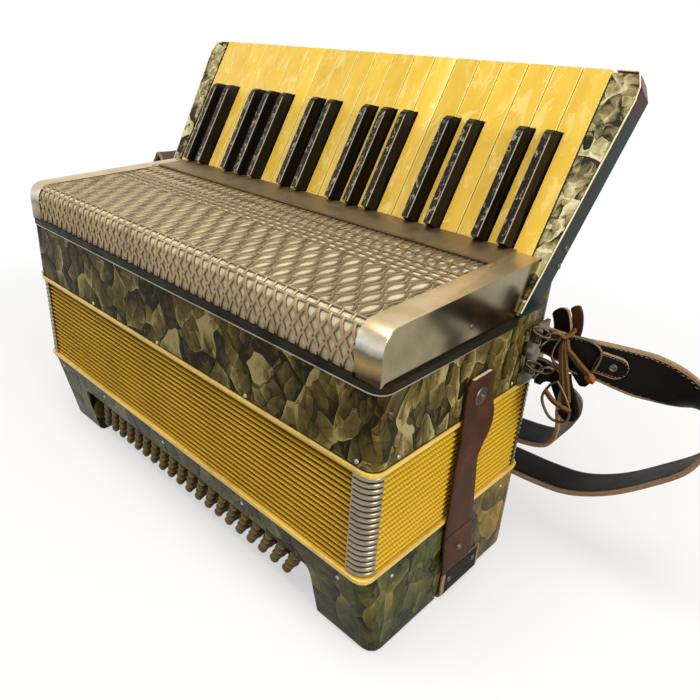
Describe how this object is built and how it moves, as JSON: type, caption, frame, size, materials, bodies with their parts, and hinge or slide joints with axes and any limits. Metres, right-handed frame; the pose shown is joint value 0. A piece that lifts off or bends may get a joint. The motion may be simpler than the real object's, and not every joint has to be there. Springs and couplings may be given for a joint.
{
  "type": "piano accordion",
  "caption": "Piano accordion with pearloid casings, pleated bellows, pierced grille, sprung keys and bass buttons, hand strap and shoulder straps.",
  "frame": {"origin": "centre of the bounding box at its base, on the floor between the bass cheeks", "axes": "+X along the keyboard towards the low notes, -Y the front with the grille's curved edge, +Z the way the bellows draw out, towards the keyboard side"},
  "size_m": [0.6536, 0.2464, 0.3679],
  "materials": {
    "bass_body": "polished",
    "bass_binding": "polished",
    "bass_plate": "plain",
    "button_board": "plain",
    "bass_reed_block": "plain",
    "bellows": "woven",
    "hand_strap": "worn",
    "treble_body": "polished",
    "treble_binding": "polished",
    "grille": "satin plated",
    "grille_cloth": "woven",
    "keyboard_bed": "plain",
    "cheek_low_end": "polished",
    "cheek_high_end": "polished",
    "key_axle": "worn plating",
    "treble_reed_block": "plain",
    "strap_bracket_low_end": "worn plating",
    "strap_bracket_high_end": "worn plating",
    "white_key_01": "polished",
    "white_key_02": "polished",
    "white_key_03": "polished",
    "white_key_04": "polished",
    "white_key_05": "polished",
    "white_key_06": "polished",
    "white_key_07": "polished",
    "white_key_08": "polished",
    "white_key_09": "polished",
    "white_key_10": "polished",
    "white_key_11": "polished",
    "white_key_12": "polished",
    "white_key_13": "polished",
    "white_key_14": "polished",
    "white_key_15": "polished",
    "white_key_16": "polished",
    "white_key_17": "polished",
    "white_key_18": "polished",
    "white_key_19": "polished",
    "white_key_20": "polished",
    "black_key_01": "polished",
    "black_key_02": "polished",
    "black_key_03": "polished",
    "black_key_04": "polished",
    "black_key_05": "polished",
    "black_key_06": "polished",
    "black_key_07": "polished",
    "black_key_08": "polished",
    "black_key_09": "polished",
    "black_key_10": "polished",
    "black_key_11": "polished",
    "black_key_12": "polished",
    "black_key_13": "polished",
    "black_key_14": "polished",
    "button_row_1": "plain",
    "button_row_2": "plain",
    "button_row_3": "plain",
    "button_row_4": "plain",
    "air_button": "plain",
    "bellows_strap": "worn",
    "shoulder_strap_upper": "worn",
    "shoulder_strap_lower": "worn"
  },
  "bodies": {
    "bass_side": {"bass_body": "bass_body", "bass_binding": "bass_binding", "bass_plate": "bass_plate", "button_board": "button_board", "bass_reed_block": "bass_reed_block", "bellows": "bellows", "hand_strap": "hand_strap"},
    "treble_side": {"treble_body": "treble_body", "treble_binding": "treble_binding", "grille": "grille", "grille_cloth": "grille_cloth", "keyboard_bed": "keyboard_bed", "cheek_low_end": "cheek_low_end", "cheek_high_end": "cheek_high_end", "key_axle": "key_axle", "treble_reed_block": "treble_reed_block", "strap_bracket_low_end": "strap_bracket_low_end", "strap_bracket_high_end": "strap_bracket_high_end"},
    "white_key_01": {"white_key_01": "white_key_01"},
    "white_key_02": {"white_key_02": "white_key_02"},
    "white_key_03": {"white_key_03": "white_key_03"},
    "white_key_04": {"white_key_04": "white_key_04"},
    "white_key_05": {"white_key_05": "white_key_05"},
    "white_key_06": {"white_key_06": "white_key_06"},
    "white_key_07": {"white_key_07": "white_key_07"},
    "white_key_08": {"white_key_08": "white_key_08"},
    "white_key_09": {"white_key_09": "white_key_09"},
    "white_key_10": {"white_key_10": "white_key_10"},
    "white_key_11": {"white_key_11": "white_key_11"},
    "white_key_12": {"white_key_12": "white_key_12"},
    "white_key_13": {"white_key_13": "white_key_13"},
    "white_key_14": {"white_key_14": "white_key_14"},
    "white_key_15": {"white_key_15": "white_key_15"},
    "white_key_16": {"white_key_16": "white_key_16"},
    "white_key_17": {"white_key_17": "white_key_17"},
    "white_key_18": {"white_key_18": "white_key_18"},
    "white_key_19": {"white_key_19": "white_key_19"},
    "white_key_20": {"white_key_20": "white_key_20"},
    "black_key_01": {"black_key_01": "black_key_01"},
    "black_key_02": {"black_key_02": "black_key_02"},
    "black_key_03": {"black_key_03": "black_key_03"},
    "black_key_04": {"black_key_04": "black_key_04"},
    "black_key_05": {"black_key_05": "black_key_05"},
    "black_key_06": {"black_key_06": "black_key_06"},
    "black_key_07": {"black_key_07": "black_key_07"},
    "black_key_08": {"black_key_08": "black_key_08"},
    "black_key_09": {"black_key_09": "black_key_09"},
    "black_key_10": {"black_key_10": "black_key_10"},
    "black_key_11": {"black_key_11": "black_key_11"},
    "black_key_12": {"black_key_12": "black_key_12"},
    "black_key_13": {"black_key_13": "black_key_13"},
    "black_key_14": {"black_key_14": "black_key_14"},
    "button_row_1": {"button_row_1": "button_row_1"},
    "button_row_2": {"button_row_2": "button_row_2"},
    "button_row_3": {"button_row_3": "button_row_3"},
    "button_row_4": {"button_row_4": "button_row_4"},
    "air_button": {"air_button": "air_button"},
    "bellows_strap": {"bellows_strap": "bellows_strap"},
    "shoulder_strap_upper": {"shoulder_strap_upper": "shoulder_strap_upper"},
    "shoulder_strap_lower": {"shoulder_strap_lower": "shoulder_strap_lower"}
  },
  "joints": [
    {"name": "bellows_draw", "type": "slide", "parent": "bass_side", "child": "treble_side", "axis": [0, 0, 1], "range_m": [0, 0.3], "deforming": ["bellows"]},
    {"name": "white_key_01_press", "type": "hinge", "parent": "treble_side", "child": "white_key_01", "pos_m": [-0.19, 0.03001, 0.198], "axis": [-1, 0, 0], "range_deg": [0, 1.9], "stiffness_Nm_per_rad": 6, "springref_deg": -1.15},
    {"name": "white_key_02_press", "type": "hinge", "parent": "treble_side", "child": "white_key_02", "pos_m": [-0.17, 0.03001, 0.198], "axis": [-1, 0, 0], "range_deg": [0, 1.9], "stiffness_Nm_per_rad": 6, "springref_deg": -1.15},
    {"name": "white_key_03_press", "type": "hinge", "parent": "treble_side", "child": "white_key_03", "pos_m": [-0.15, 0.03001, 0.198], "axis": [-1, 0, 0], "range_deg": [0, 1.9], "stiffness_Nm_per_rad": 6, "springref_deg": -1.15},
    {"name": "white_key_04_press", "type": "hinge", "parent": "treble_side", "child": "white_key_04", "pos_m": [-0.13, 0.03001, 0.198], "axis": [-1, 0, 0], "range_deg": [0, 1.9], "stiffness_Nm_per_rad": 6, "springref_deg": -1.15},
    {"name": "white_key_05_press", "type": "hinge", "parent": "treble_side", "child": "white_key_05", "pos_m": [-0.11, 0.03001, 0.198], "axis": [-1, 0, 0], "range_deg": [0, 1.9], "stiffness_Nm_per_rad": 6, "springref_deg": -1.15},
    {"name": "white_key_06_press", "type": "hinge", "parent": "treble_side", "child": "white_key_06", "pos_m": [-0.09, 0.03001, 0.198], "axis": [-1, 0, 0], "range_deg": [0, 1.9], "stiffness_Nm_per_rad": 6, "springref_deg": -1.15},
    {"name": "white_key_07_press", "type": "hinge", "parent": "treble_side", "child": "white_key_07", "pos_m": [-0.07, 0.03001, 0.198], "axis": [-1, 0, 0], "range_deg": [0, 1.9], "stiffness_Nm_per_rad": 6, "springref_deg": -1.15},
    {"name": "white_key_08_press", "type": "hinge", "parent": "treble_side", "child": "white_key_08", "pos_m": [-0.05, 0.03001, 0.198], "axis": [-1, 0, 0], "range_deg": [0, 1.9], "stiffness_Nm_per_rad": 6, "springref_deg": -1.15},
    {"name": "white_key_09_press", "type": "hinge", "parent": "treble_side", "child": "white_key_09", "pos_m": [-0.03, 0.03001, 0.198], "axis": [-1, 0, 0], "range_deg": [0, 1.9], "stiffness_Nm_per_rad": 6, "springref_deg": -1.15},
    {"name": "white_key_10_press", "type": "hinge", "parent": "treble_side", "child": "white_key_10", "pos_m": [-0.01, 0.03001, 0.198], "axis": [-1, 0, 0], "range_deg": [0, 1.9], "stiffness_Nm_per_rad": 6, "springref_deg": -1.15},
    {"name": "white_key_11_press", "type": "hinge", "parent": "treble_side", "child": "white_key_11", "pos_m": [0.01, 0.03001, 0.198], "axis": [-1, 0, 0], "range_deg": [0, 1.9], "stiffness_Nm_per_rad": 6, "springref_deg": -1.15},
    {"name": "white_key_12_press", "type": "hinge", "parent": "treble_side", "child": "white_key_12", "pos_m": [0.03, 0.03001, 0.198], "axis": [-1, 0, 0], "range_deg": [0, 1.9], "stiffness_Nm_per_rad": 6, "springref_deg": -1.15},
    {"name": "white_key_13_press", "type": "hinge", "parent": "treble_side", "child": "white_key_13", "pos_m": [0.05, 0.03001, 0.198], "axis": [-1, 0, 0], "range_deg": [0, 1.9], "stiffness_Nm_per_rad": 6, "springref_deg": -1.15},
    {"name": "white_key_14_press", "type": "hinge", "parent": "treble_side", "child": "white_key_14", "pos_m": [0.07, 0.03001, 0.198], "axis": [-1, 0, 0], "range_deg": [0, 1.9], "stiffness_Nm_per_rad": 6, "springref_deg": -1.15},
    {"name": "white_key_15_press", "type": "hinge", "parent": "treble_side", "child": "white_key_15", "pos_m": [0.09, 0.03001, 0.198], "axis": [-1, 0, 0], "range_deg": [0, 1.9], "stiffness_Nm_per_rad": 6, "springref_deg": -1.15},
    {"name": "white_key_16_press", "type": "hinge", "parent": "treble_side", "child": "white_key_16", "pos_m": [0.11, 0.03001, 0.198], "axis": [-1, 0, 0], "range_deg": [0, 1.9], "stiffness_Nm_per_rad": 6, "springref_deg": -1.15},
    {"name": "white_key_17_press", "type": "hinge", "parent": "treble_side", "child": "white_key_17", "pos_m": [0.13, 0.03001, 0.198], "axis": [-1, 0, 0], "range_deg": [0, 1.9], "stiffness_Nm_per_rad": 6, "springref_deg": -1.15},
    {"name": "white_key_18_press", "type": "hinge", "parent": "treble_side", "child": "white_key_18", "pos_m": [0.15, 0.03001, 0.198], "axis": [-1, 0, 0], "range_deg": [0, 1.9], "stiffness_Nm_per_rad": 6, "springref_deg": -1.15},
    {"name": "white_key_19_press", "type": "hinge", "parent": "treble_side", "child": "white_key_19", "pos_m": [0.17, 0.03001, 0.198], "axis": [-1, 0, 0], "range_deg": [0, 1.9], "stiffness_Nm_per_rad": 6, "springref_deg": -1.15},
    {"name": "white_key_20_press", "type": "hinge", "parent": "treble_side", "child": "white_key_20", "pos_m": [0.19, 0.03001, 0.198], "axis": [-1, 0, 0], "range_deg": [0, 1.9], "stiffness_Nm_per_rad": 6, "springref_deg": -1.15},
    {"name": "black_key_01_press", "type": "hinge", "parent": "treble_side", "child": "black_key_01", "pos_m": [-0.18, 0.03001, 0.198], "axis": [-1, 0, 0], "range_deg": [0, 1.9], "stiffness_Nm_per_rad": 6, "springref_deg": -1.15},
    {"name": "black_key_02_press", "type": "hinge", "parent": "treble_side", "child": "black_key_02", "pos_m": [-0.16, 0.03001, 0.198], "axis": [-1, 0, 0], "range_deg": [0, 1.9], "stiffness_Nm_per_rad": 6, "springref_deg": -1.15},
    {"name": "black_key_03_press", "type": "hinge", "parent": "treble_side", "child": "black_key_03", "pos_m": [-0.12, 0.03001, 0.198], "axis": [-1, 0, 0], "range_deg": [0, 1.9], "stiffness_Nm_per_rad": 6, "springref_deg": -1.15},
    {"name": "black_key_04_press", "type": "hinge", "parent": "treble_side", "child": "black_key_04", "pos_m": [-0.1, 0.03001, 0.198], "axis": [-1, 0, 0], "range_deg": [0, 1.9], "stiffness_Nm_per_rad": 6, "springref_deg": -1.15},
    {"name": "black_key_05_press", "type": "hinge", "parent": "treble_side", "child": "black_key_05", "pos_m": [-0.08, 0.03001, 0.198], "axis": [-1, 0, 0], "range_deg": [0, 1.9], "stiffness_Nm_per_rad": 6, "springref_deg": -1.15},
    {"name": "black_key_06_press", "type": "hinge", "parent": "treble_side", "child": "black_key_06", "pos_m": [-0.04, 0.03001, 0.198], "axis": [-1, 0, 0], "range_deg": [0, 1.9], "stiffness_Nm_per_rad": 6, "springref_deg": -1.15},
    {"name": "black_key_07_press", "type": "hinge", "parent": "treble_side", "child": "black_key_07", "pos_m": [-0.02, 0.03001, 0.198], "axis": [-1, 0, 0], "range_deg": [0, 1.9], "stiffness_Nm_per_rad": 6, "springref_deg": -1.15},
    {"name": "black_key_08_press", "type": "hinge", "parent": "treble_side", "child": "black_key_08", "pos_m": [0.02, 0.03001, 0.198], "axis": [-1, 0, 0], "range_deg": [0, 1.9], "stiffness_Nm_per_rad": 6, "springref_deg": -1.15},
    {"name": "black_key_09_press", "type": "hinge", "parent": "treble_side", "child": "black_key_09", "pos_m": [0.04, 0.03001, 0.198], "axis": [-1, 0, 0], "range_deg": [0, 1.9], "stiffness_Nm_per_rad": 6, "springref_deg": -1.15},
    {"name": "black_key_10_press", "type": "hinge", "parent": "treble_side", "child": "black_key_10", "pos_m": [0.06, 0.03001, 0.198], "axis": [-1, 0, 0], "range_deg": [0, 1.9], "stiffness_Nm_per_rad": 6, "springref_deg": -1.15},
    {"name": "black_key_11_press", "type": "hinge", "parent": "treble_side", "child": "black_key_11", "pos_m": [0.1, 0.03001, 0.198], "axis": [-1, 0, 0], "range_deg": [0, 1.9], "stiffness_Nm_per_rad": 6, "springref_deg": -1.15},
    {"name": "black_key_12_press", "type": "hinge", "parent": "treble_side", "child": "black_key_12", "pos_m": [0.12, 0.03001, 0.198], "axis": [-1, 0, 0], "range_deg": [0, 1.9], "stiffness_Nm_per_rad": 6, "springref_deg": -1.15},
    {"name": "black_key_13_press", "type": "hinge", "parent": "treble_side", "child": "black_key_13", "pos_m": [0.16, 0.03001, 0.198], "axis": [-1, 0, 0], "range_deg": [0, 1.9], "stiffness_Nm_per_rad": 6, "springref_deg": -1.15},
    {"name": "black_key_14_press", "type": "hinge", "parent": "treble_side", "child": "black_key_14", "pos_m": [0.18, 0.03001, 0.198], "axis": [-1, 0, 0], "range_deg": [0, 1.9], "stiffness_Nm_per_rad": 6, "springref_deg": -1.15},
    {"name": "button_row_1_press", "type": "slide", "parent": "bass_side", "child": "button_row_1", "axis": [0, 0.9747, 0.2236], "range_m": [0, 0.003], "stiffness_N_per_m": 400, "springref_m": -0.001},
    {"name": "button_row_2_press", "type": "slide", "parent": "bass_side", "child": "button_row_2", "axis": [0, 0.9747, 0.2236], "range_m": [0, 0.003], "stiffness_N_per_m": 400, "springref_m": -0.001},
    {"name": "button_row_3_press", "type": "slide", "parent": "bass_side", "child": "button_row_3", "axis": [0, 0.9747, 0.2236], "range_m": [0, 0.003], "stiffness_N_per_m": 400, "springref_m": -0.001},
    {"name": "button_row_4_press", "type": "slide", "parent": "bass_side", "child": "button_row_4", "axis": [0, 0.9747, 0.2236], "range_m": [0, 0.003], "stiffness_N_per_m": 400, "springref_m": -0.001},
    {"name": "air_button_press", "type": "slide", "parent": "bass_side", "child": "air_button", "axis": [0, -1, 0], "range_m": [0, 0.0025], "stiffness_N_per_m": 200, "springref_m": -0.001},
    {"name": "bellows_strap_peel", "type": "hinge", "parent": "bass_side", "child": "bellows_strap", "pos_m": [0.2105, -0.01699, 0.031], "axis": [0, 1, 0], "range_deg": [0, 90]},
    {"name": "shoulder_strap_upper_swing", "type": "hinge", "parent": "treble_side", "child": "shoulder_strap_upper", "pos_m": [0, 0.04801, 0.196], "axis": [1, 0, 0], "range_deg": [0, 55]},
    {"name": "shoulder_strap_lower_swing", "type": "hinge", "parent": "treble_side", "child": "shoulder_strap_lower", "pos_m": [0, 0.04801, 0.172], "axis": [1, 0, 0], "range_deg": [0, 55]}
  ]
}
